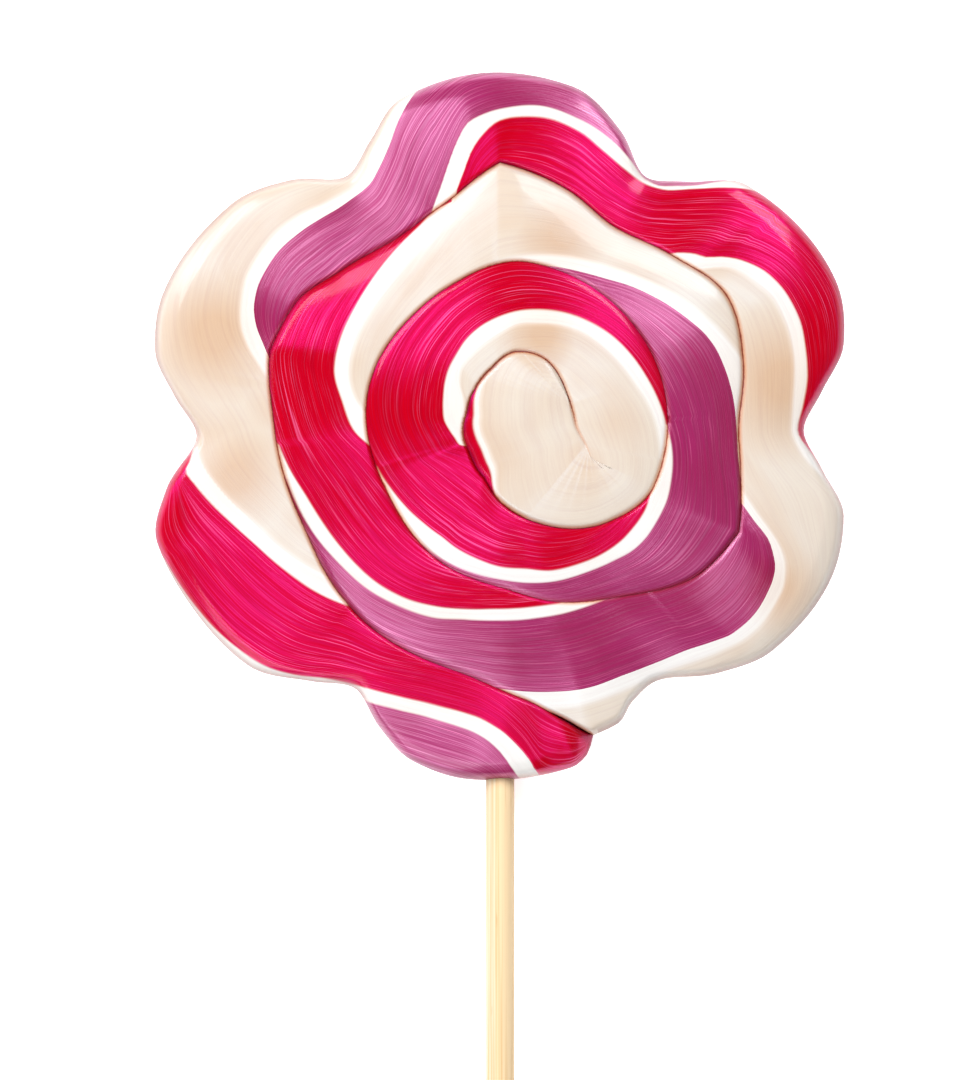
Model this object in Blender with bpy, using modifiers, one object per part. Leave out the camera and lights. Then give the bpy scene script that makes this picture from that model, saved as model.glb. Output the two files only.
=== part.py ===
"""Flower-shaped hard-candy lollipop: one rope of pulled sugar, coiled and pressed, on a bamboo stick.

It lies on its flat back with the pressed front up, in metres. The stick points to -Y and the
middle of the flower's back is the origin. Angles run clockwise from the stick, seen from the front.
"""

import bisect
import math

import bmesh
import bpy

MM = 0.001
GAP = 0.3 * MM
WELD = 0.02 * MM

# Outline of the flower, one row a petal: degrees, then millimetres from the middle
PETALS = (
    ((-16, 33.7), (-10, 35.9), (5, 36.7), (15, 35.8), (22, 33.6)),
    ((29.5, 31.0), (37, 32.9), (47, 36.1), (60, 37.2), (72, 37.8), (80, 35.5)),
    ((89, 31.8), (96, 34.3), (103, 37.1), (112, 38.1), (130, 36.8), (140, 34.2)),
    ((149, 31.1), (156, 33.3), (163, 36.2), (179, 37.5), (192, 36.8), (202, 33.8)),
    ((210, 30.6), (217, 32.6), (225, 36.4), (246, 38.5), (256, 37.1), (263, 34.0)),
    ((270, 31.8), (277, 34.0), (284, 37.1), (294, 38.0), (309, 36.7), (318, 34.2)),
    ((329, 30.9), (334, 31.6), (338, 33.1), (344, 33.7)),
)
TIP_ANGLE = -16
TURN = 360

# Where the seam between the coils runs: degrees wound from the tip, then millimetres from the middle
SEAM = (
    (-16, 33.7), (-5, 28.2), (10, 25.6), (35, 24.5), (45, 23.9), (65, 22.8), (90, 23.5), (109, 25.4),
    (122, 25.1), (135, 23.5), (150, 22.7), (165, 24.1), (180, 27.9), (195, 26.1), (210, 24.3), (225, 25.6),
    (240, 27.5), (255, 26.3), (270, 24.9), (280, 25.5), (293, 27.1), (305, 25.8), (324, 21.5), (341, 19.0),
    (360, 16.4), (380, 15.3), (425, 13.4), (470, 14.4), (500, 14.9), (520, 15.8), (550, 17.7), (600, 17.7),
    (650, 17.1), (670, 14.9), (700, 10.2), (720, 7.5), (740, 5.2), (780, 3.9), (830, 3.8), (860, 4.6),
    (890, 6.3), (912, 8.3), (930, 8.7), (968, 7.8), (985, 7.9), (1008, 9.9),
)
SEAM_CORNERS = (109, 180, 293)
FOLD_ANGLE = 1008
CORE_END = 1324
FOLD_STEPS = 11

# Heights above the back, in millimetres
MIDDLE_HEIGHT = 9.5
HEIGHT_FALL = 0.085
RIM_WAIST = 3.0
RIM_RIDGE = 1.0
SEAM_DEPTH = 0.8
COIL_LIFT = 0.5
COIL_BULGE = 0.45
LIP_WIDTH = 1.6
SLIM_COIL = 6.0

# Rows across a coil: a share of its width, then millimetres added to that
COIL_ROWS = (
    (0.0, 0.0), (0.0, 0.35), (0.0, 1.1), (0.28, 0.3), (0.5, 0.0), (0.75, -0.2), (1.0, -1.1), (1.0, -0.4), (1.0, 0.0),
)
# Rows down the side wall: millimetres in from the outline, then height
SIDE_ROWS = ((0.0, RIM_WAIST), (0.0, 1.5), (0.25, 0.5), (0.9, 0.0))
STEP_ANGLE = 4

STICK_RADIUS = 1.5 * MM
STICK_TOP = 1.5 * MM
STICK_END = -148.5 * MM
STICK_AXIS_HEIGHT = 3.3 * MM
STICK_SIDES = 28
STICK_EDGE = 0.3 * MM

CANDY_COLOUR = (0.87, 0.22, 0.34, 1.0)
BAMBOO_COLOUR = (0.94, 0.76, 0.47, 1.0)


def level_slope(knots, index):
    """Slope at an inner knot: level at a crest or a dip, so that the curve never overshoots."""
    before = rise(knots, index - 1)
    after = rise(knots, index)
    if before * after <= 0:
        return 0.0
    return 2 * before * after / (before + after)


def rise(knots, index):
    """Slope of the straight line from one knot to the next."""
    (start, low), (end, high) = knots[index], knots[index + 1]
    return (high - low) / (end - start)


def curve_at(knots, corners, place):
    """The smooth curve through the knots, with a sharp turn at each corner."""
    index = bisect.bisect_right([knot[0] for knot in knots], place) - 1
    index = max(0, min(index, len(knots) - 2))
    (start, low), (end, high) = knots[index], knots[index + 1]
    straight = rise(knots, index)
    first = straight if index == 0 or start in corners else level_slope(knots, index)
    last = straight if index == len(knots) - 2 or end in corners else level_slope(knots, index + 1)
    span = end - start
    part = (place - start) / span
    return (
        low * (1 + 2 * part) * (1 - part) ** 2
        + high * part**2 * (3 - 2 * part)
        + span * part * (1 - part) * (first * (1 - part) - last * part)
    )


def outline_radius(angle):
    knots = [knot for petal in PETALS for knot in petal]
    return curve_at(knots, (), angle)


def seam_radius(angle):
    return curve_at(SEAM, SEAM_CORNERS, angle)


def point(radius, angle):
    """Flat position of a radius in millimetres at an angle in degrees."""
    turned = math.radians(angle)
    return -radius * math.sin(turned), -radius * math.cos(turned)


def coil_edges(angle):
    """The coil's outer and inner edge at a wound angle, each as (radius, angle)."""
    if angle < TIP_ANGLE + TURN:
        outer = (outline_radius(angle), angle)
    else:
        outer = (seam_radius(angle - TURN), angle - TURN)
    folded = angle
    if angle > FOLD_ANGLE:
        done = round((angle - FOLD_ANGLE) / (CORE_END - FOLD_ANGLE) * FOLD_STEPS)
        folded = FOLD_ANGLE - done * STEP_ANGLE
    return outer, (seam_radius(folded), folded)


def dome_height(radius):
    return MIDDLE_HEIGHT - HEIGHT_FALL * radius


def seam_height(radius, angle):
    """Bottom of the groove: it meets the waist of the rim at the tip and fades out in the core."""
    fade = min(1.0, (FOLD_ANGLE - angle) / 24)
    floor = dome_height(radius) - SEAM_DEPTH * fade
    climb = min(1.0, (angle - TIP_ANGLE) / 6)
    return RIM_WAIST + (floor - RIM_WAIST) * climb


def front_point(angle, row):
    """A point of the pressed front: angle wound along the coil, row across it."""
    (outer_radius, outer_angle), (inner_radius, inner_angle) = coil_edges(angle)
    outer = point(outer_radius, outer_angle)
    inner = point(inner_radius, inner_angle)
    width = math.dist(outer, inner)
    slim = min(1.0, width / SLIM_COIL)
    share, offset = COIL_ROWS[row]
    across = share * width + offset * slim
    part = across / width if width else 0.0
    x = outer[0] + (inner[0] - outer[0]) * part
    y = outer[1] + (inner[1] - outer[1]) * part
    on_rim = angle < TIP_ANGLE + TURN
    low = RIM_WAIST if on_rim else seam_height(outer_radius, outer_angle)
    floor = low + (seam_height(inner_radius, inner_angle) - low) * part
    lift = 0.0 if on_rim else COIL_LIFT * (1 - part)
    crown = dome_height(math.hypot(x, y)) + lift + COIL_BULGE * 4 * part * (1 - part)
    if on_rim:
        outer_share = math.sqrt(1 - (1 - min(1.0, across / RIM_RIDGE)) ** 2)
    else:
        outer_share = 1 - (1 - min(1.0, across / LIP_WIDTH)) ** 2
    inner_share = 1 - (1 - min(1.0, max(0.0, width - across) / LIP_WIDTH)) ** 2
    return x, y, floor + (crown - floor) * slim * outer_share * inner_share


def side_point(angle, row):
    """A point of the side wall, from the waist of the rim down to the back."""
    inset, height = SIDE_ROWS[row]
    x, y = point(outline_radius(angle) - inset, angle)
    return x, y, height


def wound_sheet(mesh, last_angle, rows, placed):
    """Adds a grid to the mesh and bends it: one way runs round the flower, the other follows the rows."""
    columns = round((last_angle - TIP_ANGLE) / STEP_ANGLE)
    made = bmesh.ops.create_grid(mesh, x_segments=columns, y_segments=rows - 1, size=0.5)
    for vert in made["verts"]:
        column = round((vert.co.x + 0.5) * columns)
        row = round((vert.co.y + 0.5) * (rows - 1))
        x, y, z = placed(TIP_ANGLE + column * STEP_ANGLE, row)
        vert.co = (x * MM, y * MM, z * MM)


def candy_mesh():
    mesh = bmesh.new()
    wound_sheet(mesh, CORE_END, len(COIL_ROWS), front_point)
    wound_sheet(mesh, TIP_ANGLE + TURN, len(SIDE_ROWS), side_point)
    bmesh.ops.remove_doubles(mesh, verts=mesh.verts, dist=WELD)
    bmesh.ops.dissolve_degenerate(mesh, dist=WELD / 10, edges=mesh.edges)
    bmesh.ops.holes_fill(mesh, edges=mesh.edges, sides=0)
    bmesh.ops.recalc_face_normals(mesh, faces=mesh.faces)
    data = bpy.data.meshes.new("candy_head")
    mesh.to_mesh(data)
    mesh.free()
    return data


def material(name, colour, roughness):
    made = bpy.data.materials.new(name)
    made.use_nodes = True
    shader = made.node_tree.nodes["Principled BSDF"]
    shader.inputs["Base Color"].default_value = colour
    shader.inputs["Roughness"].default_value = roughness
    shader.inputs["Metallic"].default_value = 0.0
    made.diffuse_color = colour
    return made


def group(name):
    made = bpy.data.collections.new(name)
    bpy.context.scene.collection.children.link(made)
    return made


def rod(name, radius, start, end, home):
    """A cylinder along Y at the height of the stick, from one Y to another."""
    bpy.ops.mesh.primitive_cylinder_add(
        vertices=STICK_SIDES,
        radius=radius,
        depth=start - end,
        location=(0, (start + end) / 2, STICK_AXIS_HEIGHT),
        rotation=(math.pi / 2, 0, 0),
    )
    made = bpy.context.object
    made.name = name
    for collection in list(made.users_collection):
        collection.objects.unlink(made)
    home.objects.link(made)
    return made


def clear_scene():
    for item in list(bpy.data.objects):
        bpy.data.objects.remove(item, do_unlink=True)


def build():
    clear_scene()
    lollipop = group("lollipop")
    cutters = group("cutters")
    cutters.hide_render = True

    candy = bpy.data.objects.new("candy_head", candy_mesh())
    lollipop.objects.link(candy)
    candy.data.materials.append(material("candy", CANDY_COLOUR, 0.25))

    stick = rod("stick", STICK_RADIUS, STICK_TOP, STICK_END, lollipop)
    stick.data.materials.append(material("bamboo", BAMBOO_COLOUR, 0.6))
    rounding = stick.modifiers.new("rounded ends", "BEVEL")
    rounding.width = STICK_EDGE
    rounding.segments = 2
    rounding.limit_method = "ANGLE"

    socket = rod("stick_socket", STICK_RADIUS + GAP, STICK_TOP + GAP, -45 * MM, cutters)
    socket.hide_render = True
    socket.display_type = "WIRE"
    cut = candy.modifiers.new("stick socket", "BOOLEAN")
    cut.operation = "DIFFERENCE"
    cut.solver = "EXACT"
    cut.object = socket


build()
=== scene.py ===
import bisect
import math

import bmesh
import bpy
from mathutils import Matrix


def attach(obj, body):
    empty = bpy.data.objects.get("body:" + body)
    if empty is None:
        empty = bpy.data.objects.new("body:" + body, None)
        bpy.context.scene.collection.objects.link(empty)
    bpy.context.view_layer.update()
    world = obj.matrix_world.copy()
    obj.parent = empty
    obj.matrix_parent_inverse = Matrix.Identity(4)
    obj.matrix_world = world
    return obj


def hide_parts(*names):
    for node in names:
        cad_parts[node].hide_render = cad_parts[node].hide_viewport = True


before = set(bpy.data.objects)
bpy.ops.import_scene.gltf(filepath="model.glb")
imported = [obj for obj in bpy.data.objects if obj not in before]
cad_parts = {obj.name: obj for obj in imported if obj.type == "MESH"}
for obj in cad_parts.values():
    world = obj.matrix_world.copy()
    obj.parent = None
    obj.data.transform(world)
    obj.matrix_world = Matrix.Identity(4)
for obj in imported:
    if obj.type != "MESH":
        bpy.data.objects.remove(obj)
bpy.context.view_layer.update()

MM = 0.001
TURN = 360

# Outline of the flower, one row a petal: degrees clockwise from the stick, then millimetres
PETALS = (
    ((-17, 33.4), (-15, 35.2), (-12, 36.1), (5, 36.7), (15, 35.8), (22, 33.6)),
    ((29.5, 31.0), (37, 32.9), (47, 36.1), (60, 37.2), (72, 37.8), (80, 35.5)),
    ((89, 31.8), (96, 34.3), (103, 37.1), (112, 38.1), (130, 36.8), (140, 34.2)),
    ((149, 31.1), (156, 33.3), (163, 36.2), (179, 37.5), (192, 36.8), (202, 33.8)),
    ((210, 30.6), (217, 32.6), (225, 36.4), (246, 38.5), (256, 37.1), (263, 34.0)),
    ((270, 31.8), (277, 34.0), (284, 37.1), (294, 38.0), (309, 36.7), (318, 34.2)),
    ((329, 30.9), (334, 31.6), (338, 33.1), (343, 33.4)),
)
OUTLINE = tuple(knot for petal in PETALS for knot in petal)
TIP_ANGLE = -17

# Where the seam between the coils runs: degrees wound from the tip, then millimetres from the middle
SEAM = (
    (-17, 33.4), (-12, 30.8), (-5, 28.2), (10, 25.6), (35, 24.5), (45, 23.9), (65, 22.8), (90, 23.5),
    (109, 25.4), (122, 25.1), (135, 23.5), (150, 22.7), (165, 24.1), (180, 27.9), (195, 26.1), (210, 24.3),
    (225, 25.6), (240, 27.5), (255, 26.3), (270, 24.9), (280, 25.5), (293, 27.1), (305, 25.8), (324, 21.5),
    (341, 19.0), (360, 16.4), (380, 15.3), (425, 13.4), (470, 14.4), (500, 14.9), (520, 15.8), (550, 17.7),
    (600, 17.7), (650, 17.1), (670, 14.9), (700, 10.2), (720, 7.5), (740, 5.2), (780, 3.9), (830, 3.8),
    (860, 4.6), (890, 6.3), (912, 8.3), (930, 8.7), (968, 7.8), (985, 7.9), (1008, 9.9),
)
SEAM_CORNERS = (109, 180, 293)
FOLD_ANGLE = 1008
CORE_END = 1324
FOLD_STEPS = 44

# Heights above the back, in millimetres
OUTER_LIP = (
    (-17, 5.6), (0, 6.2), (343, 6.2), (360, 6.9), (400, 7.3), (680, 7.6), (720, 8.3), (760, 8.8),
    (1008, 9.0), (1080, 9.4), (1324, 9.6),
)
INNER_LIP = (
    (-17, 5.6), (0, 7.0), (200, 7.3), (300, 7.6), (370, 8.5), (440, 9.0), (700, 9.1), (740, 9.4),
    (1008, 9.7), (1324, 9.7),
)
RIM_WAIST = 3.0
# The painted shade line round the outline fades this many times faster down the wall than across the front
WALL_FADE = 2.5
# Stands for a place with no rim or seam near it, in millimetres
FAR_AWAY = 20.0
RIM_RIDGE = 0.95
SEAM_DEPTH = 0.3
OUTER_LIP_WIDTH = 0.7
INNER_LIP_WIDTH = 0.5
LIP_ROUNDING = 2.4
COIL_BULGE = 0.32
# Coils narrower than this are flatter, in millimetres
SLIM_COIL = 5.0
# The groove rises from the waist over the first degrees and fades out over the last ones
SEAM_CLIMB = 7
SEAM_FLATTEN = 30
# The seam's last stretch in the core loses its colour: degrees wound, then millimetres a degree
SEAM_FADE_START = 966
SEAM_FADE = 0.007
# Folds across a coil from the corners of the seam: degrees wound, height, reach before and after, lean
FOLDS = ((470, 0.5, 20, 40, 8), (542, 0.5, 40, 20, 8), (653, 0.25, 30, 30, 4))
FOLD_ROUNDING = 1.2
FOLD_FALL = 0.7
# The front slopes down towards the rim over a width that grows with the petal's reach
SHOULDER_SLOPE = 0.34
SHOULDER_START = 30.0
SHOULDER_SHARE = 0.3
SHOULDER_LEAST = 0.5
SHOULDER_ROUNDING = 1.3

STEP_ANGLE = 1
WELD = 0.004
FRONT_ROWS = 50
BACK_ROWS = 6
# Down the side wall: millimetres in from the outline, then height
SIDE_PROFILE = (
    (0.0, RIM_WAIST), (-0.02, 2.4), (0.02, 1.7), (0.12, 1.1), (0.35, 0.55), (0.6, 0.22), (0.95, 0.0),
)

# Stripes in the order they cross the rope, with their usual width in millimetres
STRIPES = (
    ("purple", 6.0), ("white", 1.3), ("magenta", 6.0), ("white", 1.3), ("ivory", 8.0), ("white", 1.3),
)
# How far the edges of the stripes waver, in millimetres
EDGE_WOBBLE = 0.16
# Half the width of the blend at an edge, in millimetres: white runs softly into ivory
CRISP_BLEND = 0.09
SOFT_BLEND = 0.32
# Edges between the stripes, in the same order: degrees wound, then millimetres from the middle
STRIPE_EDGES = (
    ((-3, 36.3), (0, 33.6), (3, 32.2), (6, 31.5), (10, 31.1), (15, 30.9), (20, 31.1), (25, 31.5),
     (27.5, 31.7)),
    ((-6.5, 36.4), (-5, 34.5), (-3, 32.9), (0, 31.3), (5, 30.0), (10, 29.6), (15, 29.5), (20, 29.7),
     (25, 30.1), (30, 30.7), (35, 31.7), (40, 33.4), (45, 34.8), (50, 35.6), (55, 36.3), (60, 36.8),
     (69, 37.6)),
    ((41, 24.3), (45, 25.0), (50, 25.8), (55, 26.5), (60, 27.3), (65, 28.2), (70, 29.4), (75, 30.9),
     (80, 32.4), (82.5, 33.1), (84.5, 32.5), (88, 32.0)),
    ((50, 23.5), (60, 25.5), (70, 27.4), (77.5, 29.5), (84, 31.2), (87, 31.6), (89, 31.9)),
    ((101, 24.2), (105, 26.1), (108, 27.7), (112, 29.3), (117, 30.4), (122, 31.1), (130, 31.3),
     (137, 30.8), (143, 30.0), (149, 29.7), (152, 30.3), (155, 31.9), (158, 33.3), (161, 35.0),
     (163.5, 36.4)),
    ((107, 25.1), (110, 26.3), (113, 27.6), (117, 28.8), (122, 29.5), (128, 29.7), (135, 29.3),
     (145, 28.6), (149, 28.7), (152, 29.0), (155, 30.0), (158.5, 31.7), (162, 34.1), (165, 35.9),
     (167, 36.9)),
    ((162.5, 23.8), (166, 25.9), (168, 27.4), (170, 29.1), (172, 30.8), (174, 32.2), (177, 33.0),
     (180, 33.5), (187, 34.1), (195, 33.4), (200, 32.6), (205, 31.5), (208, 30.7), (210, 30.3),
     (212, 30.3), (216.5, 31.7), (219, 32.9), (222, 35.1)),
    ((170, 25.6), (172, 27.2), (174, 29.1), (176, 30.5), (180, 32.3), (183, 32.7), (188, 32.9),
     (195, 32.2), (200, 31.1), (206, 30.1), (210, 29.8), (214, 30.3), (219, 32.4), (223, 34.6),
     (226.5, 36.4), (229, 37.3), (232, 38.0)),
    ((224, 25.5), (225, 26.1), (228, 27.4), (230, 28.0), (232, 29.3), (235, 30.8), (240, 32.4),
     (245, 33.1), (250, 33.3), (255, 33.0), (260, 32.6), (265, 31.8), (270, 31.1), (276, 33.6)),
    ((231, 26.5), (235, 29.3), (240, 30.7), (245, 31.6), (250, 31.7), (255, 31.5), (260, 31.0),
     (265, 30.5), (270, 30.3), (274, 31.3), (277, 33.0), (280, 35.4)),
    ((284, 26.0), (286, 27.1), (288, 28.3), (290, 29.8), (293, 32.0), (296, 33.3), (300, 34.1),
     (305, 34.2), (310, 33.8), (315, 32.7), (320, 31.6), (325, 30.7), (330, 30.3), (337, 30.1), (344, 30.0),
     (350, 29.6)),
    ((287, 26.4), (290, 28.4), (292, 30.1), (294, 31.1), (297, 32.2), (300, 32.6), (305, 32.8),
     (311, 32.3), (315, 31.3), (320, 30.1), (325, 29.4), (330, 28.9), (335, 28.6), (340, 28.5),
     (350, 27.8), (360, 27.0)),
    ((318, 22.3), (325, 21.0), (330, 20.7), (340, 20.3), (350, 20.0), (360, 19.9), (370, 20.1),
     (380, 20.8), (390, 21.2), (400, 21.6), (410, 21.8), (420, 22.2), (430, 22.6), (437, 22.9)),
    ((341, 19.1), (350, 18.8), (360, 18.7), (370, 19.0), (380, 19.6), (390, 20.2), (400, 20.5),
     (410, 20.6), (420, 20.8), (430, 21.3), (440, 22.4), (446, 23.1)),
    ((443, 13.7), (450, 15.3), (460, 16.7), (470, 18.4), (480, 19.2), (490, 19.8), (500, 20.6),
     (510, 21.7), (518, 22.8), (524, 24.0), (528, 24.3)),
    ((458, 14.3), (462, 15.3), (470, 16.6), (480, 17.5), (490, 18.1), (500, 18.7), (510, 19.6),
     (517, 20.9), (524, 22.8), (530, 25.2), (532, 25.8)),
    ((539, 17.5), (550, 18.6), (560, 19.4), (570, 20.2), (580, 21.3), (590, 22.8), (600, 24.3),
     (605, 25.1), (614, 26.5)),
    ((557, 17.8), (565, 18.3), (570, 18.7), (575, 19.2), (580, 19.9), (590, 21.3), (600, 22.8),
     (605, 23.6), (610, 24.1), (620, 24.5), (630, 24.7), (635, 24.9), (641, 25.5)),
    ((627, 17.2), (635, 17.9), (645, 18.5), (655, 18.9), (665, 18.9), (670, 18.8), (680, 18.0),
     (690, 17.3), (700, 16.8), (710, 16.2), (720, 15.6), (730, 15.2), (740, 14.9), (750, 14.6),
     (757, 14.4)),
    ((652, 17.0), (660, 17.3), (670, 17.2), (680, 16.8), (690, 16.2), (700, 15.6), (710, 14.7),
     (720, 14.3), (730, 13.7), (740, 13.2), (750, 12.7), (760, 12.6), (770, 12.7), (780, 12.9),
     (793, 13.4)),
    ((784, 3.9), (790, 4.5), (800, 4.8), (810, 5.3), (820, 5.9), (830, 6.3), (840, 6.8), (850, 7.5),
     (860, 8.3), (870, 9.1), (880, 10.1), (890, 11.0), (900, 11.8), (910, 12.6), (920, 13.3),
     (930, 14.0), (940, 14.6), (950, 15.2), (960, 15.7), (970, 16.2), (980, 16.8), (988, 17.3)),
    ((834, 3.8), (850, 4.9), (860, 6.5), (870, 7.7), (880, 8.3), (890, 9.0), (900, 9.9), (910, 11.0),
     (920, 11.6), (930, 12.4), (940, 13.1), (950, 13.6), (960, 14.1), (970, 14.7), (980, 15.6),
     (990, 16.4), (1000, 17.0)),
)
# The last two edges come back along the outside of the core: degrees wound, then shares across it
CORE_MAGENTA = (
    (1070, -0.2), (1085, 0.0), (1110, 0.1), (1140, 0.11), (1180, 0.08), (1225, 0.02), (1265, -0.15),
)
CORE_WHITE = (
    (1065, -0.2), (1080, 0.0), (1110, 0.17), (1140, 0.18), (1180, 0.15), (1225, 0.08), (1275, -0.15),
)
LEAST_STRIPE = 0.004

# Past its last knot an edge runs off the coil: least share of the width a degree, and the share it
# comes near to
LEAST_RUN_OFF = 0.006
FULL_RUN_OFF = 0.4

# Beside each stripe's edge the map across the rope is true to scale, for this many millimetres or
# this share of a narrow stripe
TRUE_BORDER = 1.0
TRUE_SHARE = 0.42
# How far the first and last stripe go on past the coil's sides, as shares of its width
FIRST_REACH = 0.7
LAST_REACH = 0.9
LAST_END = 1.2

# Places where the ivory is painted a little warmer and darker as shade, as millimetres across, up, and
# reach
PAINTED_SHADE_SPOTS = (
    (-29.8, 10.0, 9.0), (6.5, 20.5, 6.5), (29.5, 5.0, 9.0), (4.5, 10.0, 5.5), (-27.5, -5.0, 6.5),
    (28.5, -16.5, 5.5),
)

STICK_RADIUS = 1.5
STICK_TOP = 1.5
STICK_END = -148.5
STICK_AXIS_HEIGHT = 3.3
STICK_SIDES = 64
STICK_EDGE = 0.3
SOCKET_GAP = 0.04
SOCKET_TOP = STICK_TOP + 0.05
SOCKET_END = -45.0
SOCKET_SIDES = 48

# Soft lights round the flower: name, bearing in degrees, width in metres, power in watts
SOFTBOXES = (
    ("upper_left_softbox", 138, 0.32, 4.3),
    ("upper_right_softbox", 52, 0.2, 2.9),
    ("lower_softbox", 240, 0.45, 3.0),
)
LIGHT_TILT = 44
LIGHT_DISTANCE = 0.7
LIGHT_LENGTH = 0.32
ROOM_LIGHT = 0.06
FLOOR_GLOW = 0.75
FLOOR_HALF = 3.0
FLOOR_DROP = 0.1

# The camera looks straight down; the view's height is measured at the middle of the candy's thickness
CAMERA_HEIGHT = 1200.0
VIEW_CENTRE = (-1.05, -11.5)
VIEW_HEIGHT = 112.9
VIEW_PLANE = 5.0
PHOTO_SHAPE = 980 / 1080
SENSOR = 24.0


def rise(knots, index):
    """Slope of the straight line from one knot to the next."""
    (start, low), (end, high) = knots[index], knots[index + 1]
    return (high - low) / (end - start)


def level_slope(knots, index):
    """Slope at an inner knot: level at a crest or a dip, so that the curve never overshoots."""
    before = rise(knots, index - 1)
    after = rise(knots, index)
    if before * after <= 0:
        return 0.0
    return 2 * before * after / (before + after)


def curve_at(knots, place, corners=()):
    """The smooth curve through the knots, with a sharp turn at each corner."""
    place = min(max(place, knots[0][0]), knots[-1][0])
    index = bisect.bisect_right(knots, (place, math.inf)) - 1
    index = max(0, min(index, len(knots) - 2))
    (start, low), (end, high) = knots[index], knots[index + 1]
    straight = rise(knots, index)
    first = straight if index == 0 or start in corners else level_slope(knots, index)
    last = straight if index == len(knots) - 2 or end in corners else level_slope(knots, index + 1)
    span = end - start
    part = (place - start) / span
    return (
        low * (1 + 2 * part) * (1 - part) ** 2
        + high * part**2 * (3 - 2 * part)
        + span * part * (1 - part) * (first * (1 - part) - last * part)
    )


def seam_radius(angle):
    return curve_at(SEAM, angle, SEAM_CORNERS)


def point(radius, angle):
    """Flat position of a radius in millimetres at an angle in degrees."""
    turned = math.radians(angle)
    return -radius * math.sin(turned), -radius * math.cos(turned)


def eased(share):
    """Slow at both ends, so that rows gather at the edges of a coil."""
    return share * share * (3 - 2 * share)


def seam_height(angle):
    """Bottom of the groove: it meets the waist of the rim at the tip and fades out in the core."""
    fade = min(1.0, (FOLD_ANGLE - angle) / SEAM_FLATTEN)
    floor = curve_at(INNER_LIP, angle) - SEAM_DEPTH * fade
    climb = min(1.0, (angle - TIP_ANGLE) / SEAM_CLIMB)
    return RIM_WAIST + (floor - RIM_WAIST) * climb


def coil_share(edge, angle):
    """How far across the coil a stripe's edge lies at a wound angle short of the fold."""
    outer = curve_at(OUTLINE, angle) if angle < TIP_ANGLE + TURN else seam_radius(angle - TURN)
    return (outer - curve_at(edge, angle)) / max(0.01, outer - seam_radius(angle))


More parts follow.
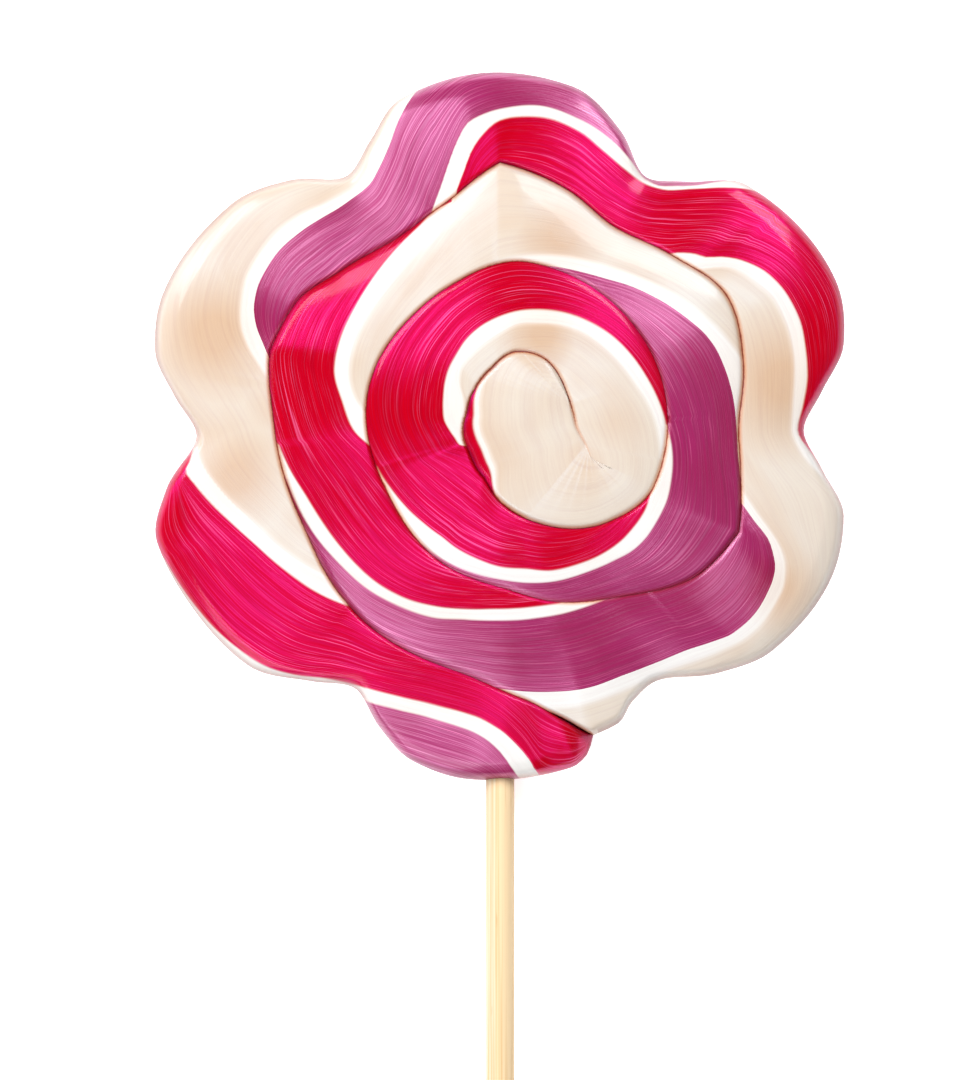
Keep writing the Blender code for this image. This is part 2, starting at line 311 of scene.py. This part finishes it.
class Column:
    """One line across the coil at a wound angle, from its outer edge to its inner edge."""

    def __init__(self, angle):
        self.angle = angle
        self.on_rim = angle < TIP_ANGLE + TURN
        self.outer_radius = curve_at(OUTLINE, angle) if self.on_rim else seam_radius(angle - TURN)
        folded = angle
        if angle > FOLD_ANGLE:
            done = round((angle - FOLD_ANGLE) / (CORE_END - FOLD_ANGLE) * FOLD_STEPS)
            folded = FOLD_ANGLE - done
        self.seam_fade = SEAM_FADE * max(0, folded - SEAM_FADE_START)
        self.outer = point(self.outer_radius, angle)
        self.inner = point(seam_radius(folded), folded)
        self.width = math.dist(self.outer, self.inner)
        self.slim = min(1.0, self.width / SLIM_COIL)
        self.low_outer = RIM_WAIST if self.on_rim else seam_height(angle - TURN)
        self.low_inner = seam_height(folded)
        self.lip_outer = curve_at(OUTER_LIP, angle)
        self.lip_inner = curve_at(INNER_LIP, angle)
        self.shoulder = max(SHOULDER_LEAST, SHOULDER_SHARE * (self.outer_radius - SHOULDER_START))
        self.stripes = self.stripe_shares()

    def stripe_share(self, edge):
        """How far across the coil an edge lies; past its ends it runs off the nearer side."""
        held = min(max(self.angle, edge[0][0]), edge[-1][0])
        share = coil_share(edge, held)
        if held == self.angle:
            return share
        inner_knot = held + (1 if held == edge[0][0] else -1)
        slope = max(LEAST_RUN_OFF, abs(share - coil_share(edge, inner_knot)))
        away = slope * abs(self.angle - held)
        past = away / (1 + away / FULL_RUN_OFF)
        return 1 + past if share > 0.5 else -past

    def stripe_shares(self):
        shares = [self.stripe_share(edge) for edge in STRIPE_EDGES]
        if CORE_MAGENTA[0][0] <= self.angle <= CORE_MAGENTA[-1][0]:
            shares[-2] = curve_at(CORE_MAGENTA, self.angle)
        if CORE_WHITE[0][0] <= self.angle <= CORE_WHITE[-1][0]:
            shares[-1] = curve_at(CORE_WHITE, self.angle)
        for index in range(1, len(shares)):
            shares[index] = max(shares[index], shares[index - 1] + LEAST_STRIPE)
        return shares

    def stripe_place(self, share):
        """Millimetres across the rope, counted through the stripes; true to scale beside each edge."""
        after = bisect.bisect_right(self.stripes, share)
        starts = [self.stripes[0] - FIRST_REACH, *self.stripes]
        ends = [*self.stripes, max(LAST_END, self.stripes[-1] + LAST_REACH)]
        start, end = starts[after], ends[after]
        usual_width = STRIPES[after % len(STRIPES)][1]
        real_width = max(1e-3, (end - start) * self.width)
        inside = min(real_width, max(0.0, (share - start) * self.width))
        border = min(TRUE_BORDER, TRUE_SHARE * min(usual_width, real_width))
        if inside < border:
            return STRIPE_STARTS[after] + inside
        if real_width - inside < border:
            return STRIPE_STARTS[after] + usual_width - (real_width - inside)
        pace = (usual_width - 2 * border) / (real_width - 2 * border)
        return STRIPE_STARTS[after] + border + pace * (inside - border)

    def flat_place(self, share):
        return (
            self.outer[0] + (self.inner[0] - self.outer[0]) * share,
            self.outer[1] + (self.inner[1] - self.outer[1]) * share,
        )

    def fold_height(self, share):
        """Rise of the folds that reach this place; each leans on as it crosses the coil."""
        rises = 0.0
        for middle, height, before, after, lean in FOLDS:
            place = self.angle - middle - lean * share
            away = math.hypot(place, FOLD_ROUNDING) - FOLD_ROUNDING
            reach = before if place < 0 else after
            rises += height * max(0.0, 1 - away / reach) ** 2
        return rises * (1 - share) ** FOLD_FALL

    def height(self, share):
        """Height of the pressed front at a share of the way across."""
        across = share * self.width
        left = self.width - across
        floor = self.low_outer + (self.low_inner - self.low_outer) * share
        crown = self.lip_outer + (self.lip_inner - self.lip_outer) * share
        crown += COIL_BULGE * 4 * share * (1 - share) + self.fold_height(share)
        if self.on_rim:
            left_of_slope = max(0.0, 1 - across / self.shoulder)
            drop = SHOULDER_SLOPE * self.shoulder / SHOULDER_ROUNDING
            crown -= drop * left_of_slope**SHOULDER_ROUNDING
            outer_share = math.sqrt(1 - (1 - min(1.0, across / RIM_RIDGE)) ** 2)
        else:
            outer_share = 1 - (1 - min(1.0, across / OUTER_LIP_WIDTH)) ** LIP_ROUNDING
        inner_share = 1 - (1 - min(1.0, left / INNER_LIP_WIDTH)) ** LIP_ROUNDING
        return floor + (crown - floor) * self.slim * outer_share * inner_share

    def seam_distance(self, share):
        """Millimetres to the nearest seam; the outline isn't one."""
        left = (1 - share) * self.width + self.seam_fade
        return left if self.on_rim else min(left, share * self.width)


def stripe_starts():
    """Where each stripe of the whole rope starts, in millimetres across."""
    starts = [0.0]
    for index in range(len(STRIPE_EDGES)):
        starts.append(starts[-1] + STRIPES[index % len(STRIPES)][1])
    return starts


STRIPE_STARTS = stripe_starts()


def rope_lengths(columns):
    """Millimetres along the rope at each column, measured down its middle."""
    lengths = [0.0]
    for before, after in zip(columns, columns[1:]):
        lengths.append(lengths[-1] + math.dist(before.flat_place(0.5), after.flat_place(0.5)))
    return lengths


def wound_sheet(mesh, columns, rows, placed):
    """Adds a grid and bends it round the flower; placed gives a point and its four map values."""
    last = len(columns) - 1
    made = bmesh.ops.create_grid(mesh, x_segments=last, y_segments=rows, size=0.5, calc_uvs=True)
    rope_map = mesh.loops.layers.uv["rope"]
    edge_map = mesh.loops.layers.uv["edges"]
    faces = set()
    values = {}
    for vert in made["verts"]:
        column = round((vert.co.x + 0.5) * last)
        row = round((vert.co.y + 0.5) * rows)
        place, values[vert] = placed(column, row / rows)
        vert.co = [length * MM for length in place]
        faces.update(vert.link_faces)
    for face in faces:
        for loop in face.loops:
            length, across, seam, rim = values[loop.vert]
            loop[rope_map].uv = (length, across)
            loop[edge_map].uv = (seam, rim)


def profile_at(share):
    """Point on the side wall's profile: millimetres in from the outline, and height."""
    place = share * (len(SIDE_PROFILE) - 1)
    insets = tuple((index, knot[0]) for index, knot in enumerate(SIDE_PROFILE))
    heights = tuple((index, knot[1]) for index, knot in enumerate(SIDE_PROFILE))
    return curve_at(insets, place), curve_at(heights, place)


def candy_mesh():
    """The whole candy: pressed front, side wall and flat back, each wound along the same rope."""
    columns = [Column(angle) for angle in range(TIP_ANGLE, CORE_END + 1, STEP_ANGLE)]
    lengths = rope_lengths(columns)
    rim_columns = columns[: TURN // STEP_ANGLE + 1]

    def front(index, row):
        column = columns[index]
        share = eased(row)
        x, y = column.flat_place(share)
        rim = share * column.width if column.on_rim else FAR_AWAY
        values = (lengths[index], column.stripe_place(share), column.seam_distance(share), rim)
        return (x, y, column.height(share)), values

    def side(index, row):
        column = rim_columns[index]
        inset, height = profile_at(row)
        x, y = point(column.outer_radius - inset, column.angle)
        down = RIM_WAIST - height
        values = (lengths[index], column.stripe_place(0.0) - down, FAR_AWAY, WALL_FADE * down)
        return (x, y, height), values

    def back(index, row):
        column = columns[index]
        x, y = column.flat_place(row)
        if column.on_rim:
            inset = SIDE_PROFILE[-1][0] * (1 - row)
            reach = math.hypot(x, y)
            x, y = x * (1 - inset / reach), y * (1 - inset / reach)
        values = (lengths[index], column.stripe_place(row), column.seam_distance(row), FAR_AWAY)
        return (x, y, 0.0), values

    mesh = bmesh.new()
    mesh.loops.layers.uv.new("rope")
    mesh.loops.layers.uv.new("edges")
    wound_sheet(mesh, columns, FRONT_ROWS, front)
    wound_sheet(mesh, rim_columns, len(SIDE_PROFILE) * 2, side)
    wound_sheet(mesh, columns, BACK_ROWS, back)
    bmesh.ops.remove_doubles(mesh, verts=mesh.verts, dist=WELD * MM)
    bmesh.ops.recalc_face_normals(mesh, faces=mesh.faces)
    for face in mesh.faces:
        face.smooth = True
    data = bpy.data.meshes.new("candy_flower")
    mesh.to_mesh(data)
    mesh.free()
    return data


def add_object(name, data):
    made = bpy.data.objects.new(name, data)
    bpy.context.scene.collection.objects.link(made)
    return made


def rod_mesh(name, radius, top, end, sides, edge):
    """A rod along Y at the stick's height, with rounded ends where an edge is given."""
    mesh = bmesh.new()
    size = radius * MM
    length = (top - end) * MM
    bmesh.ops.create_cone(mesh, cap_ends=True, segments=sides, radius1=size, radius2=size, depth=length)
    if edge:
        rings = [item for item in mesh.edges if abs(item.verts[0].co.z - item.verts[1].co.z) < MM / 100]
        bmesh.ops.bevel(
            mesh, geom=rings, offset=edge * MM, affect="EDGES", segments=3, profile=0.5, material=-1
        )
    for vert in mesh.verts:
        across, along, up = vert.co.x, vert.co.z, vert.co.y
        vert.co = (across, along + (top + end) / 2 * MM, up + STICK_AXIS_HEIGHT * MM)
    bmesh.ops.recalc_face_normals(mesh, faces=mesh.faces)
    for face in mesh.faces:
        face.smooth = len(face.verts) == 4
    data = bpy.data.meshes.new(name)
    mesh.to_mesh(data)
    mesh.free()
    return data


def cut_socket(candy):
    """Opens the hole in the bottom petal that the stick sits in."""
    hole = rod_mesh("socket", STICK_RADIUS + SOCKET_GAP, SOCKET_TOP, SOCKET_END, SOCKET_SIDES, 0)
    cutter = add_object("socket", hole)
    cut = candy.modifiers.new("socket", "BOOLEAN")
    cut.operation = "DIFFERENCE"
    cut.solver = "EXACT"
    cut.object = cutter
    graph = bpy.context.evaluated_depsgraph_get()
    opened = bpy.data.meshes.new_from_object(candy.evaluated_get(graph))
    candy.modifiers.clear()
    candy.data = opened
    bpy.data.objects.remove(cutter, do_unlink=True)


class Nodes:
    """Short ways to add nodes to one material."""

    def __init__(self, name):
        self.material = bpy.data.materials.new(name)
        self.material.use_nodes = True
        self.tree = self.material.node_tree
        self.shader = self.tree.nodes["Principled BSDF"]

    def add(self, kind, **settings):
        node = self.tree.nodes.new(kind)
        for key, value in settings.items():
            setattr(node, key, value)
        return node

    def link(self, source, target):
        self.tree.links.new(source, target)

    def feed(self, socket, value):
        if isinstance(value, bpy.types.NodeSocket):
            self.link(value, socket)
        else:
            socket.default_value = value

    def math(self, operation, first, second=0.0):
        node = self.add("ShaderNodeMath", operation=operation)
        for socket, value in zip(node.inputs, (first, second)):
            self.feed(socket, value)
        return node.outputs[0]

    def scaled(self, vector, scale):
        node = self.add("ShaderNodeMapping")
        self.link(vector, node.inputs["Vector"])
        node.inputs["Scale"].default_value = scale
        return node.outputs[0]

    def distance(self, vector, place):
        node = self.add("ShaderNodeVectorMath", operation="DISTANCE")
        self.link(vector, node.inputs[0])
        node.inputs[1].default_value = place
        return node.outputs["Value"]

    def noise(self, vector, scale, detail=2.0, rough=0.5):
        """Noise on a vector stretched by a scale for each axis."""
        node = self.add("ShaderNodeTexNoise")
        self.link(self.scaled(vector, scale), node.inputs["Vector"])
        node.inputs["Scale"].default_value = 1.0
        node.inputs["Detail"].default_value = detail
        node.inputs["Roughness"].default_value = rough
        return node.outputs["Fac"]

    def remap(self, value, low, high, to_low=0.0, to_high=1.0):
        node = self.add("ShaderNodeMapRange")
        for socket, given in zip(node.inputs, (value, low, high, to_low, to_high)):
            self.feed(socket, given)
        return node.outputs[0]

    def mix(self, blend, amount, first, second):
        node = self.add("ShaderNodeMix", data_type="RGBA", blend_type=blend)
        for index, value in ((0, amount), (6, first), (7, second)):
            self.feed(node.inputs[index], value)
        return node.outputs[2]

    def ramp(self, value, stops):
        node = self.add("ShaderNodeValToRGB")
        self.link(value, node.inputs[0])
        points = node.color_ramp.elements
        while len(points) < len(stops):
            points.new(0.5)
        for stop, (place, colour) in zip(points, stops):
            stop.position = place
            stop.color = colour
        return node.outputs[0]

    def bump(self, height, strength, distance, under=None):
        node = self.add("ShaderNodeBump")
        node.inputs["Strength"].default_value = strength
        node.inputs["Distance"].default_value = distance
        self.link(height, node.inputs["Height"])
        if under:
            self.link(under, node.inputs["Normal"])
        return node.outputs[0]


def rgb(red, green, blue):
    """A colour given in screen values from 0 to 255, as the linear values a shader takes."""
    linear = []
    for value in (red, green, blue):
        share = value / 255
        linear.append(share / 12.92 if share <= 0.04045 else ((share + 0.055) / 1.055) ** 2.4)
    return (*linear, 1.0)


SUGAR_COLOURS = {
    "purple": rgb(156, 36, 94),
    "white": rgb(228, 226, 223),
    "magenta": rgb(190, 0, 24),
    "ivory": rgb(216, 204, 190),
}
SHEEN_COLOURS = {
    "purple": rgb(255, 184, 234),
    "white": rgb(90, 100, 112),
    "magenta": rgb(220, 42, 156),
    "ivory": rgb(92, 126, 150),
}


def blend_width(name, neighbour):
    """Half the width of the blend between two stripes: white runs softly into ivory."""
    return SOFT_BLEND if {name, neighbour} == {"white", "ivory"} else CRISP_BLEND


def stripe_stops(colours):
    """Ramp stops for one round of the stripes, with a blend at each edge."""
    names = [name for name, _ in STRIPES]
    total = sum(width for _, width in STRIPES)
    stops = []
    start = 0.0
    for index, (name, width) in enumerate(STRIPES):
        end = start + width
        stops.append(((start + blend_width(name, names[index - 1])) / total, colours[name]))
        stops.append(((end - blend_width(name, names[(index + 1) % len(names)])) / total, colours[name]))
        start = end
    return stops


def candy_material():
    """Pulled sugar: striped, with fine lengthwise strands and a satin gloss; pale strand streaks are a
    painted highlight, and painted shade darkens the outline, a few spots on the pale stripes and the seams,
    whose dark line is partly the joint's own colour.
    """
    made = Nodes("pulled_sugar")
    rope = made.add("ShaderNodeUVMap", uv_map="rope").outputs[0]
    edges = made.add("ShaderNodeUVMap", uv_map="edges").outputs[0]
    split = made.add("ShaderNodeSeparateXYZ")
    made.link(rope, split.inputs[0])
    edge_split = made.add("ShaderNodeSeparateXYZ")
    made.link(edges, edge_split.inputs[0])

    wobble = made.noise(rope, (0.12, 1.4, 1.0), 3.0)
    shift = made.math("MULTIPLY", made.math("SUBTRACT", wobble, 0.5), EDGE_WOBBLE)
    place = made.math("ADD", split.outputs[1], shift)
    turn = made.math("FRACT", made.math("DIVIDE", place, sum(width for _, width in STRIPES)))
    colour = made.ramp(turn, stripe_stops(SUGAR_COLOURS))
    channels = made.add("ShaderNodeSeparateColor")
    made.link(colour, channels.inputs[0])
    tinted = made.remap(channels.outputs[1], 0.1, 0.5, 1.0, 0.0)

    strands = made.noise(rope, (0.06, 3.2, 1.0), 5.0, 0.72)
    fine = made.noise(rope, (0.09, 11.0, 1.0), 2.0, 0.6)
    cloud = made.noise(rope, (0.07, 0.16, 1.0))
    dark = made.remap(strands, 0.34, 0.56, 1.0, 0.0)
    dark_share = made.math("MULTIPLY", dark, made.remap(tinted, 0.0, 1.0, 0.17, 0.5))
    colour = made.mix("MULTIPLY", dark_share, colour, rgb(205, 170, 185))
    # Pale pink streaks along the strands, patchy with the cloud noise: a painted highlight
    painted_streak_highlight = made.math("MULTIPLY", made.remap(fine, 0.56, 0.66, 0.0, 0.45), tinted)
    painted_streak_highlight = made.math("MULTIPLY", painted_streak_highlight, made.remap(cloud, 0.4, 0.6, 0.15, 1.0))
    colour = made.mix("MIX", painted_streak_highlight, colour, rgb(255, 125, 180))
    coords = made.add("ShaderNodeTexCoord").outputs["Object"]
    flat = made.scaled(coords, (1.0, 1.0, 0.0))
    # Random warm patches on the white and ivory, plus painted shade at the listed spots
    warm_tone_and_painted_shade = made.remap(cloud, 0.35, 0.6, 0.5, 0.0)
    for x, y, reach in PAINTED_SHADE_SPOTS:
        away = made.distance(flat, (x * MM, y * MM, 0.0))
        spot = made.remap(away, 0.2 * reach * MM, reach * MM, 0.95, 0.0)
        warm_tone_and_painted_shade = made.math("MAXIMUM", warm_tone_and_painted_shade, spot)
    warm_tone_and_painted_shade = made.math("MULTIPLY", warm_tone_and_painted_shade, made.remap(channels.outputs[1], 0.68, 0.8, 1.0, 0.1))
    colour = made.mix("MULTIPLY", warm_tone_and_painted_shade, colour, rgb(241, 215, 192))
    # Dark line in the seams: partly the joint's own colour, partly painted shade in the groove
    ragged = made.noise(rope, (0.9, 0.0, 1.0), 4.0, 0.7)
    seam_width = made.remap(ragged, 0.35, 0.7, 0.05, 0.22)
    in_core = made.remap(made.distance(flat, (0.0, 0.0, 0.0)), 0.006, 0.009, 2.2, 1.0)
    seam_width = made.math("MULTIPLY", seam_width, in_core)
    seam_heart = made.math("MULTIPLY", seam_width, 0.3)
    seam = made.remap(edge_split.outputs[0], seam_heart, seam_width, 0.9, 0.0)
    # A wider warm painted shade beside each seam
    seam_halo_shade = made.remap(edge_split.outputs[0], 0.12, 0.45, 0.75, 0.0)
    colour = made.mix("MULTIPLY", seam_halo_shade, colour, rgb(240, 180, 135))
    colour = made.mix("MULTIPLY", seam, colour, rgb(180, 95, 55))
    # Painted shade along the outline and down the side wall
    rim = made.remap(edge_split.outputs[1], 0.1, 0.65, 0.8, 0.0)
    colour = made.mix("MULTIPLY", rim, colour, rgb(188, 142, 130))
    made.link(colour, made.shader.inputs["Base Color"])

    sheen = made.ramp(turn, stripe_stops(SHEEN_COLOURS))
    dull = made.remap(fine, 0.42, 0.58, 0.75, 0.0)
    dull = made.math("MULTIPLY", dull, made.remap(tinted, 0.0, 1.0, 0.3, 1.0))
    sheen = made.mix("MULTIPLY", dull, sheen, rgb(120, 90, 110))
    made.link(sheen, made.shader.inputs["Specular Tint"])
    rough = made.remap(strands, 0.35, 0.65, 0.46, 0.34)
    made.link(rough, made.shader.inputs["Roughness"])
    tangent = made.add("ShaderNodeTangent", direction_type="UV_MAP", uv_map="rope")
    made.link(tangent.outputs[0], made.shader.inputs["Tangent"])
    made.shader.inputs["Anisotropic"].default_value = 0.95
    made.shader.inputs["Anisotropic Rotation"].default_value = 0.25
    made.shader.inputs["IOR"].default_value = 3.0
    made.shader.inputs["Coat Weight"].default_value = 0.22
    made.shader.inputs["Coat Roughness"].default_value = 0.1
    bumps = made.bump(strands, 0.3, 0.0001)
    bumps = made.bump(fine, 0.25, 0.00004, bumps)
    made.link(bumps, made.shader.inputs["Normal"])
    return made.material


def bamboo_material():
    """Pale bamboo: lengthwise fibres, a creamier left side painted as the side lit from the left, and short
    darker flecks.
    """
    made = Nodes("bamboo")
    coords = made.add("ShaderNodeTexCoord").outputs["Object"]
    split = made.add("ShaderNodeSeparateXYZ")
    made.link(coords, split.inputs[0])
    fibres = made.noise(coords, (2000.0, 12.0, 2000.0), 4.0, 0.65)
    flecks = made.noise(coords, (2600.0, 160.0, 2600.0))
    # The left side is painted creamier and less yellow, as the side lit from the left
    side = made.remap(split.outputs[0], -0.0007, -0.0003)
    colour = made.mix("MIX", side, rgb(219, 208, 182), rgb(234, 207, 165))
    colour = made.mix("MIX", made.remap(fibres, 0.45, 0.58, 0.0, 0.9), colour, rgb(215, 178, 126))
    colour = made.mix("MIX", made.remap(flecks, 0.68, 0.78, 0.0, 0.6), colour, rgb(190, 150, 95))
    made.link(colour, made.shader.inputs["Base Color"])
    made.link(made.remap(fibres, 0.3, 0.7, 0.5, 0.65), made.shader.inputs["Roughness"])
    made.link(made.bump(fibres, 0.4, 0.00006), made.shader.inputs["Normal"])
    return made.material


def floor_material():
    made = Nodes("white_table")
    coords = made.add("ShaderNodeTexCoord").outputs["Object"]
    grain = made.noise(coords, (400.0, 400.0, 400.0))
    made.link(made.remap(grain, 0.0, 1.0, 0.75, 0.85), made.shader.inputs["Roughness"])
    made.shader.inputs["Base Color"].default_value = (0.9, 0.9, 0.9, 1.0)
    made.shader.inputs["Emission Color"].default_value = (1.0, 1.0, 1.0, 1.0)
    made.shader.inputs["Emission Strength"].default_value = FLOOR_GLOW
    return made.material


def build_floor():
    mesh = bmesh.new()
    bmesh.ops.create_grid(mesh, x_segments=2, y_segments=2, size=FLOOR_HALF)
    data = bpy.data.meshes.new("table_top")
    mesh.to_mesh(data)
    mesh.free()
    floor = add_object("table_top", data)
    for vert in data.vertices:
        vert.co.z = -FLOOR_DROP * MM
    data.materials.append(floor_material())


def add_light(name, bearing, width, power):
    """A soft light aimed at the flower; bearing anticlockwise from the right, tilt from straight up."""
    data = bpy.data.lights.new(name, "AREA")
    data.shape = "RECTANGLE"
    data.size = width
    data.size_y = LIGHT_LENGTH
    data.energy = power
    light = add_object(name, data)
    turned = math.radians(bearing)
    leaned = math.radians(LIGHT_TILT)
    light.location = (
        LIGHT_DISTANCE * math.sin(leaned) * math.cos(turned),
        LIGHT_DISTANCE * math.sin(leaned) * math.sin(turned),
        LIGHT_DISTANCE * math.cos(leaned),
    )
    light.rotation_euler = (leaned, 0.0, turned + math.pi / 2)


def build_lights():
    for name, bearing, width, power in SOFTBOXES:
        add_light(name, bearing, width, power)
    world = bpy.data.worlds.new("studio")
    world.use_nodes = True
    background = world.node_tree.nodes["Background"]
    background.inputs["Color"].default_value = (1.0, 0.99, 0.98, 1.0)
    background.inputs["Strength"].default_value = ROOM_LIGHT
    bpy.context.scene.world = world


def build_camera():
    data = bpy.data.cameras.new("camera")
    data.sensor_fit = "VERTICAL"
    data.sensor_height = SENSOR
    data.sensor_width = SENSOR * PHOTO_SHAPE
    data.lens = SENSOR * (CAMERA_HEIGHT - VIEW_PLANE) / VIEW_HEIGHT
    camera = add_object("camera", data)
    camera.location = (VIEW_CENTRE[0] * MM, VIEW_CENTRE[1] * MM, CAMERA_HEIGHT * MM)
    bpy.context.scene.camera = camera
    bpy.context.scene.view_settings.view_transform = "Standard"


def build_candy():
    candy = add_object("candy_flower", candy_mesh())
    cut_socket(candy)
    candy.data.materials.clear()
    candy.data.materials.append(candy_material())
    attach(candy, "root")
    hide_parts("candy_head")


def build_stick():
    rod = rod_mesh("bamboo_stick", STICK_RADIUS, STICK_TOP, STICK_END, STICK_SIDES, STICK_EDGE)
    stick = add_object("bamboo_stick", rod)
    stick.data.materials.append(bamboo_material())
    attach(stick, "root")
    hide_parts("stick")


build_camera()
build_lights()
build_floor()
build_candy()
build_stick()
